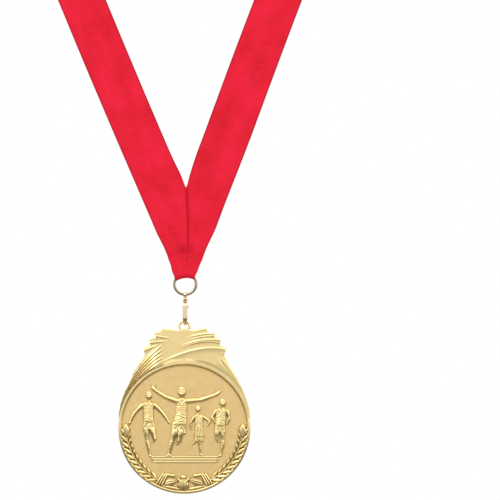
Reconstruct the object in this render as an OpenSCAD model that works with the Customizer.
// Award medal on a neck ribbon, hanging as it is worn: the front faces -Y.
// The origin is the middle of the ribbon at the nape of the neck.

/* [Ribbon] */
// Width of the woven ribbon
ribbon_width = 22; // [16:0.5:26]
// Length of the ribbon's centre line, from the V round the neck and back to the V
ribbon_length = 813; // [760:1:900]
// Thickness of one layer of ribbon
ribbon_thickness = 0.45; // [0.35:0.05:0.5]
// Angle between each leg of the V and the vertical
v_half_angle = 21.7; // [20:0.1:24]
// Half of the angle that the flat front, and the flat back, take up at the cone's apex
flat_half_angle = 14; // [12:0.5:16]

/* [Ribbon tip] */
// Height of the V's centre-line crossing above the centre of the jump ring
crossing_height = 19.2; // [18:0.1:22]
// Height of the bar-stitch line above the centre of the jump ring
stitch_height = 14; // [13:0.1:15]
// Height of the fold's lower edge above the centre of the jump ring
fold_height = 2.9; // [2.6:0.1:3.2]
// Width of the fold at its lower edge
fold_width = 10.8; // [10:0.1:11.2]

/* [Stitching] */
// Thickness of the sewing thread
thread_d = 0.4; // [0.3:0.05:0.5]
// Length of one bar stitch
bar_stitch_length = 1.5; // [1.2:0.1:1.7]
// Number of stitches across the tip on each face
bar_stitch_count = 8; // [6:1:8]
// Number of stitches down the mitre seam
seam_stitch_count = 12; // [8:1:14]

/* [Jump ring] */
// Outer diameter of the jump ring
ring_outer_d = 12; // [11.5:0.1:12.5]
// Diameter of the ring's wire
ring_wire_d = 1.3; // [1.2:0.05:1.4]

/* [Snap hook] */
// Width of the hook's strip, seen from the front
hook_width = 2.4; // [2.2:0.1:2.6]
// Depth of the hook from front to back
hook_depth = 6.8; // [6.6:0.1:7.4]
// Thickness of the hook's strip
hook_strip = 1; // [0.9:0.05:1.1]
// Width of the hook's bow, where the medal's loop hangs
bow_width = 1.8; // [1.6:0.1:1.9]
// Diameter of the swivel's head
swivel_head_d = 2.4; // [2.2:0.1:2.6]
// Diameter of the swivel's stem
swivel_stem_d = 1.1; // [1:0.05:1.2]

/* [Medal] */
// Diameter of the medal's round body
medal_d = 65; // [64:0.5:66]
// Thickness of the medal behind its raised border
medal_thickness = 2.6; // [2.4:0.1:3]
// Depth of the field below the border
field_depth = 0.7; // [0.5:0.1:0.9]
// Width of the border ring
border_width = 1.5; // [1.3:0.1:1.7]
// Height of the figures and leaves above the field
relief_height = 1.2; // [1:0.1:1.4]
// Outer diameter of the hanging loop
loop_outer_d = 6; // [5.8:0.1:6.2]
// Thickness of the hanging loop
loop_wire_d = 1.2; // [1.1:0.05:1.25]
// Number of leaves along each edge of the wreath
leaf_count = 9; // [7:1:9]

/* [Hidden] */

fine = 48;
small = 24;
gap = 0.02;
running_gap = 0.05;

// The ribbon lies on a cone, so that a flat strip makes the whole loop without a wrinkle.
apex_distance = ribbon_length / 2 * tan(v_half_angle);
seam_turn = 90 - v_half_angle;
side_turn = seam_turn - 2 * flat_half_angle;

function tilt_for(rho) = 2 * atan(tan(rho) / cos(flat_half_angle));
function arc_for(rho) = 2 * acos(sin(flat_half_angle) * sin(tilt_for(rho) / 2));
function settle(rho, steps) =
  steps == 0 ? rho : settle(asin(side_turn / arc_for(rho)), steps - 1);

// Half-angle of the small cone that each side of the loop wraps round
side_radius = settle(flat_half_angle, 8);
// Slope of the back of the loop, and the arc that each side turns through
back_tilt = tilt_for(side_radius);
side_arc = arc_for(side_radius);
apex = [0, -apex_distance * sin(back_tilt), apex_distance * cos(back_tilt)];
front_y = apex[1];
crossing_z = apex[2] - ribbon_length / 2 / cos(v_half_angle);
ring_z = crossing_z - crossing_height;
stitch_z = ring_z + stitch_height;
flex_gap = 0.6;
half_ribbon = ribbon_width / 2;
tip_z = crossing_z - half_ribbon / sin(v_half_angle);
stitch_half_width = (stitch_z - tip_z) * tan(v_half_angle) - 0.6;

// Centre of one side's small cone, and two directions across it
cone_axis = [
  cos(side_radius) * sin(flat_half_angle),
  sin(side_radius),
  -cos(side_radius) * cos(flat_half_angle)
];
front_edge = [sin(flat_half_angle), 0, -cos(flat_half_angle)];
front_heading = [cos(flat_half_angle), 0, sin(flat_half_angle)];

// Direction of the ruling at an angle from the front seam, on the +X side
function side_direction(turn) =
  let (
    arc = turn / sin(side_radius),
    centre = cone_axis * cos(side_radius),
    outward = front_edge - centre
  )
  centre + outward * cos(arc) + front_heading * sin(side_radius) * sin(arc);
function back_direction(turn) =
  [sin(turn), cos(turn) * sin(back_tilt), -cos(turn) * cos(back_tilt)];
function ruling(turn) =
  turn <= flat_half_angle ? [sin(turn), 0, -cos(turn)] :
  turn <= flat_half_angle + side_turn ? side_direction(turn - flat_half_angle) :
  back_direction(seam_turn - turn);
function mirrored(v) = [-v[0], v[1], v[2]];

// Ruling directions all the way round, from the seam up one side and down the other
rule_step = 1.9;
cut_reach = apex[2] - stitch_z - flex_gap / 2;
corner_turn = atan((stitch_z + flex_gap / 2 - tip_z) * tan(v_half_angle) / cut_reach);
rule_count = ceil(seam_turn / rule_step);
half_turns = concat([0, corner_turn], [for (i = [1 : rule_count]) seam_turn * i / rule_count]);
turn_count = len(half_turns);
all_rulings = concat(
  [for (t = half_turns) [t, ruling(t)]],
  [for (i = [turn_count - 2 : -1 : 1]) [half_turns[i], mirrored(ruling(half_turns[i]))]]
);
loop_count = len(all_rulings);

function inner_reach(turn) = (apex_distance - half_ribbon) / cos(seam_turn - turn);
function outer_reach(turn) = min(
  (apex_distance + half_ribbon) / cos(seam_turn - turn),
  cut_reach / cos(min(turn, flat_half_angle))
);
function unit(v) = v / norm(v);
function surface_normal(i) =
  let (
    before = all_rulings[(i + loop_count - 1) % loop_count][1],
    after = all_rulings[(i + 1) % loop_count][1]
  )
  unit(cross(all_rulings[i][1], after - before));
function band_section(i) =
  let (
    turn = all_rulings[i][0],
    d = all_rulings[i][1],
    lift = surface_normal(i) * ribbon_thickness / 2
  )
  [
    apex + d * inner_reach(turn) - lift, apex + d * inner_reach(turn) + lift,
    apex + d * outer_reach(turn) + lift, apex + d * outer_reach(turn) - lift
  ];

// Parts of the hanging chain, measured from the centre of the jump ring
ring_mean_r = (ring_outer_d - ring_wire_d) / 2;
eye_bore_r = ring_wire_d / 2 + 0.2;
eye_outer_r = eye_bore_r + 0.7;
eye_width = 1.5;
head_top = -ring_mean_r - eye_outer_r + 0.3;
head_height = 2.4;
hook_top = head_top - head_height - 0.25;
loop_bar_z = hook_top - 9.1;
loop_mean_r = (loop_outer_d - loop_wire_d) / 2;
loop_z = loop_bar_z - loop_mean_r;
bow_inner_z = loop_bar_z - 0.9;
hook_bottom = bow_inner_z - hook_strip;
bow_outer_r = hook_depth / 2;
bow_inner_r = bow_outer_r - hook_strip;
bow_z = hook_bottom + bow_outer_r;
nose_top = bow_z + 1.3;
gate_y = bow_inner_r - 0.06;
gate_thickness = 0.35;
rivet_z = hook_top - hook_strip - 1.1;
rivet_d = 0.9;

// The medal hangs below the loop, its plate set so that its weight is right under the loop
disc_r = medal_d / 2;
top_edge_z = 48;
disc_z = loop_z - 50.1;
back_y = medal_thickness / 2;
field_y = -back_y + field_depth;
border_r = disc_r - border_width;
plate_shift = -0.09;

// Left half of the crown's outline, from the loop out to the disc, step by step
crown_left = [
  [-4, top_edge_z], [-10.8, 48.9], [-12, 47.4], [-14.8, 47], [-13.6, 44.9],
  [-17.5, 43.6], [-16.7, 40.5], [-20.2, 39.2], [-19, 36], [-21, 32.5],
  [-24.6, 26.4], [-27.9, 19.2], [-30.2, 14.2], [-31.6, 9.8], [-32.3, 5], [-32.4, 1]
];
crown_right = [
  [4, top_edge_z], [10.9, 49], [11.7, 46.6], [15, 46.5], [14.8, 44.8],
  [17.9, 43.6], [17.4, 40.7], [20.6, 39.1], [19.5, 36.2], [21.4, 31.4],
  [24.8, 25.6], [27.9, 19.2], [30.2, 14.2], [31.6, 9.8], [32.3, 5], [32.4, 1]
];

module at_ring() {
  translate([0, front_y, ring_z]) children();
}

// Turns a shape drawn flat, x across and y up, to face the front, rising from back to front
module facing(y_from, height) {
  translate([0, y_from, 0]) rotate([90, 0, 0]) linear_extrude(height) children();
}

module wire_ring(mean_r, wire_r) {
  rotate([90, 0, 0])
    rotate_extrude($fn = fine) translate([mean_r, 0]) circle(wire_r, $fn = small);
}

module ribbon_band() {
  points = [for (i = [0 : loop_count - 1]) for (p = band_section(i)) p];
  faces = [
    for (i = [0 : loop_count - 1])
      let (a = 4 * i, b = 4 * ((i + 1) % loop_count))
      for (k = [0 : 3])
        let (n = (k + 1) % 4)
        for (triangle = [[a + k, a + n, b + k], [a + n, b + n, b + k]]) triangle
  ];
  color("crimson") polyhedron(points, faces);
}

module stitch(length) {
  rotate([0, 90, 0]) cylinder(h = length, d = thread_d, center = true, $fn = small);
}

// The mitre seam is sewn on the back, where the two ends of the ribbon meet
module seam_stitching() {
  seam_top = crossing_z + half_ribbon / sin(v_half_angle) - 2;
  seam_pitch = (seam_top - stitch_z - 2) / seam_stitch_count;
  back_face = front_y + ribbon_thickness / 2 + thread_d / 2 + gap;
  color("firebrick") for (i = [0 : seam_stitch_count - 1])
    translate([0, back_face, seam_top - i * seam_pitch]) rotate([0, 90, 0])
      stitch(seam_pitch * 0.7);
}

// Two layers of ribbon stitched flat at the top and holding the ring's arc below
module ribbon_fold() {
  pocket_r = ring_wire_d / 2 + running_gap;
  half_thickness = pocket_r + ribbon_thickness;
  flat_thickness = 2 * ribbon_thickness;
  taper = (stitch_half_width - fold_width / 2) / (stitch_height - fold_height);
  swell_top = ring_outer_d / 2 + 1.6;
  swell_half_width = fold_width / 2 + taper * (swell_top - fold_height);
  color("crimson") at_ring() difference() {
    union() {
      rotate([90, 0, 0]) linear_extrude(flat_thickness, center = true) polygon([
        [-stitch_half_width, stitch_height - flex_gap / 2],
        [stitch_half_width, stitch_height - flex_gap / 2],
        [swell_half_width, swell_top], [-swell_half_width, swell_top]
      ]);
      rotate([90, 0, 0]) linear_extrude(2 * half_thickness, center = true) polygon([
        [-swell_half_width, swell_top], [swell_half_width, swell_top],
        [fold_width / 2, fold_height - 1.2], [fold_width / 2 - 1.6, fold_height - 0.5],
        [1.6, fold_height], [-1.6, fold_height],
        [1.6 - fold_width / 2, fold_height - 0.5], [-fold_width / 2, fold_height - 1.2]
      ]);
    }
    wire_ring(ring_mean_r, pocket_r);
  }
}

module bar_stitching() {
  pitch = 2 * (stitch_half_width - 1) / bar_stitch_count;
  face_y = ribbon_thickness + thread_d / 2 + gap;
  color("firebrick") at_ring() for (side = [-1, 1])
    for (i = [0 : bar_stitch_count - 1])
      translate([(i - (bar_stitch_count - 1) / 2) * pitch, side * face_y, stitch_height - 1.3])
        stitch(bar_stitch_length);
}

module jump_ring() {
  color("darkkhaki") at_ring() wire_ring(ring_mean_r, ring_wire_d / 2);
}

// The eye goes round the ring's wire; its stem turns in the top of the hook
module swivel_eye() {
  stem_length = hook_strip + 0.7;
  rim = 0.35;
  color("khaki") at_ring() {
    difference() {
      union() {
        translate([0, 0, -ring_mean_r]) rotate([0, 90, 0]) rotate_extrude($fn = fine) {
          translate([eye_bore_r, -eye_width / 2 + rim]) square([2 * rim, eye_width - 2 * rim]);
          translate([eye_bore_r + rim, eye_width / 2 - rim]) circle(rim, $fn = small);
          translate([eye_bore_r + rim, -eye_width / 2 + rim]) circle(rim, $fn = small);
        }
        translate([0, 0, head_top - head_height])
          cylinder(h = head_height, d = swivel_head_d, $fn = fine);
        translate([0, 0, head_top - head_height - stem_length])
          cylinder(h = stem_length + 0.2, d = swivel_stem_d, $fn = fine);
        translate([0, 0, hook_top - hook_strip - 0.75])
          cylinder(h = 0.7, d = 1.9, $fn = fine);
      }
      translate([0, 0, -ring_mean_r]) rotate([0, 90, 0])
        cylinder(h = 4, r = eye_bore_r, center = true, $fn = fine);
    }
  }
}

// One strip bent into a hook: top, front spine, bow and nose
module hook_body() {
  half = hook_depth / 2;
  spine_height = hook_top - bow_z;
  color("khaki") at_ring() {
    difference() {
      union() {
        translate([-hook_width / 2, -half, bow_z])
          cube([hook_width, hook_strip, spine_height]);
        translate([-hook_width / 2, -half, hook_top - hook_strip])
          cube([hook_width, hook_depth, hook_strip]);
        for (side = [-1, 1])
          translate([side * (hook_width / 2 - 0.25) - 0.25, half - 1.9, rivet_z - 0.9])
            cube([0.5, 1.9, hook_top - hook_strip - rivet_z + 0.9]);
        translate([-bow_width / 2, half - hook_strip, bow_z])
          cube([bow_width, hook_strip, nose_top - bow_z]);
        translate([0, 0, bow_z]) rotate([0, 90, 0]) rotate([0, 0, -90])
          rotate_extrude(angle = 180, $fn = fine)
            translate([bow_inner_r, -bow_width / 2]) square([hook_strip, bow_width]);
      }
      translate([0, 0, hook_top - 2 * hook_strip])
        cylinder(h = 3 * hook_strip, d = swivel_stem_d + 2 * running_gap, $fn = fine);
      translate([0, half - 1, rivet_z]) rotate([0, 90, 0])
        cylinder(h = 4, d = rivet_d, center = true, $fn = fine);
    }
  }
}

// A springy leaf that shuts against the inside of the nose
module gate_leaf() {
  half = hook_depth / 2;
  leaf_width = hook_width - 1.1;
  leaf_bottom = nose_top - 0.9;
  color("gold") at_ring() {
    difference() {
      union() {
        translate([0, half - 1, rivet_z]) rotate([0, 90, 0])
          cylinder(h = leaf_width, d = 1.7, center = true, $fn = fine);
        translate([-leaf_width / 2, gate_y - gate_thickness, leaf_bottom])
          cube([leaf_width, gate_thickness, rivet_z - leaf_bottom]);
      }
      translate([0, half - 1, rivet_z]) rotate([0, 90, 0])
        cylinder(h = 4, d = rivet_d + 2 * running_gap, center = true, $fn = fine);
    }
  }
}

module gate_rivet() {
  head_thickness = 0.25;
  grip = hook_width;
  color("khaki") at_ring() translate([0, hook_depth / 2 - 1, rivet_z]) rotate([0, 90, 0]) {
    cylinder(h = grip, d = rivet_d, center = true, $fn = fine);
    for (side = [-1, 1])
      translate([0, 0, side * (grip + head_thickness) / 2])
        cylinder(h = head_thickness, d = 1.4, center = true, $fn = fine);
  }
}

// A straight limb a little narrower than the round joints at its two ends
module limb(from, to, r) {
  along = to - from;
  half = 0.86 * r;
  translate(from) circle(r, $fn = small);
  translate(to) circle(r, $fn = small);
  translate(from) rotate(atan2(along[1], along[0]))
    translate([0, -half]) square([norm(along), 2 * half]);
}

module chain(points, r) {
  for (i = [0 : len(points) - 2]) limb(points[i], points[i + 1], r);
}

// A runner seen from the front: head, torso, two arms and two legs
module runner(head, head_r, torso, left_arm, right_arm, left_leg, right_leg, r) {
  translate(head) circle(head_r, $fn = small);
  polygon(torso);
  chain(left_arm, r * 0.8);
  chain(right_arm, r * 0.8);
  chain(left_leg, r);
  chain(right_leg, r);
}

module runners() {
  runner(
    [-1.2, 17.5], 2, [[-4.6, 13], [2.4, 13], [0.6, 1.6], [0.8, -2.8], [-6, -2.8], [-5.2, 1.6]],
    [[-4.2, 12.8], [-9, 15.4], [-15.2, 19.8]], [[2, 12.8], [10, 13.8], [17.4, 17.8]],
    [[-5, -2.6], [-6.4, -6.2], [-7.2, -14]], [[-1.2, -2.6], [-2.4, -8.2]], 1.3
  );
  runner(
    [-17.4, 15.2], 1.6,
    [[-21.4, 11.6], [-14.2, 11.6], [-15, 4.6], [-14.8, 0.2], [-20.2, 0.2], [-20.4, 4.6]],
    [[-21.2, 11.2], [-24.6, 6.8], [-26.4, 2.2]], [[-14.4, 11.2], [-10.6, 6.6], [-8, 2.8]],
    [[-19.2, 0], [-18.2, -7.4], [-16.8, -14.6]], [[-15.8, 0], [-14.6, -6]], 1.1
  );
  runner(
    [6.9, 9], 1.3, [[4.6, 6], [9.4, 6], [9.2, 0], [9.4, -6], [5, -6], [5, 0]],
    [[4.8, 5.6], [2.8, 2.2], [3, -1.8]], [[9.2, 5.6], [12, 3.2], [12.2, 1]],
    [[7.8, -6], [7.8, -13.8]], [[5.8, -6], [4.4, -7.8]], 0.8
  );
  runner(
    [19, 11.6], 1.5,
    [[15, 8.2], [21.4, 8.2], [20.2, 2], [20.6, -2], [15, -2], [15.4, 2]],
    [[15, 7.8], [13.4, 4.6], [14.6, 2.4]], [[21.2, 7.8], [22.2, 4.4], [21.2, 1.8]],
    [[16, -2], [16.2, -6.4]], [[19, -2], [18.8, -7], [17.8, -14]], 1
  );
}

// One pointed leaf, its tip along +x
module leaf(length, width) {
  bulge = (length * length / width + width) / 4;
  intersection() {
    translate([length / 2, bulge - width / 2]) circle(bulge, $fn = 60);
    translate([length / 2, width / 2 - bulge]) circle(bulge, $fn = 60);
  }
}

// Leaves up both sides of the medal, from the knot at the bottom
module wreath() {
  from = 28;
  to = 90;
  step = (to - from) / leaf_count;
  for (side = [-1, 1]) for (i = [0 : leaf_count - 1]) for (edge = [-1, 1]) {
    along = from + (i + 0.5) * step;
    r = 28.4 + edge * 1.6;
    rotate(-90 + side * along) translate([r, 0])
      rotate(side * (90 - edge * 26)) leaf(3.1, 1.5);
  }
  for (side = [-1, 1]) rotate(-90 + side * (from - 4)) translate([28.6, 0])
    square([5, 2], center = true);
  translate([0, -26.6]) circle(2, $fn = small);
  translate([0, -29.2]) circle(1.4, $fn = small);
}

module crown_outline() {
  polygon(concat(crown_left, [[0, 0]], [
    for (i = [len(crown_right) - 1 : -1 : 0]) crown_right[i]
  ]));
}

// Swept folds across the crown, as arcs that share the lower left
module crown_folds() {
  intersection() {
    difference() {
      translate([0, 30]) scale(0.95) translate([0, -30]) crown_outline();
      circle(disc_r + 0.2, $fn = 120);
    }
    for (i = [0 : 4]) translate([16 + 5 * i, -12 - 14 * i]) difference() {
      circle(62 + 17 * i, $fn = 120);
      circle(60.8 + 17 * i, $fn = 120);
    }
  }
}

// The medal is one casting: plate, border, loop and relief
module medal_casting() {
  front = -back_y;
  color("gold") at_ring() {
    translate([0, 0, loop_z]) wire_ring(loop_mean_r, loop_wire_d / 2);
    translate([0, plate_shift, disc_z]) {
      difference() {
        facing(back_y, medal_thickness) union() {
          circle(disc_r, $fn = 120);
          crown_outline();
          translate([-2.6, top_edge_z - 1]) square([5.2, 1.5]);
        }
        translate([0, field_y, 0]) rotate([90, 0, 0]) cylinder(h = 5, r = border_r, $fn = 120);
      }
      facing(field_y + 0.1, relief_height + 0.1) intersection() {
        circle(disc_r - 0.4, $fn = 120);
        union() {
          runners();
          wreath();
          for (z = [-14.6, -16.6]) translate([-16.4, z]) square([33.4, 0.8]);
        }
      }
      facing(front + 0.1, 0.5) crown_folds();
    }
  }
}

ribbon_band();
seam_stitching();
ribbon_fold();
bar_stitching();
jump_ring();
swivel_eye();
hook_body();
gate_leaf();
gate_rivet();
medal_casting();
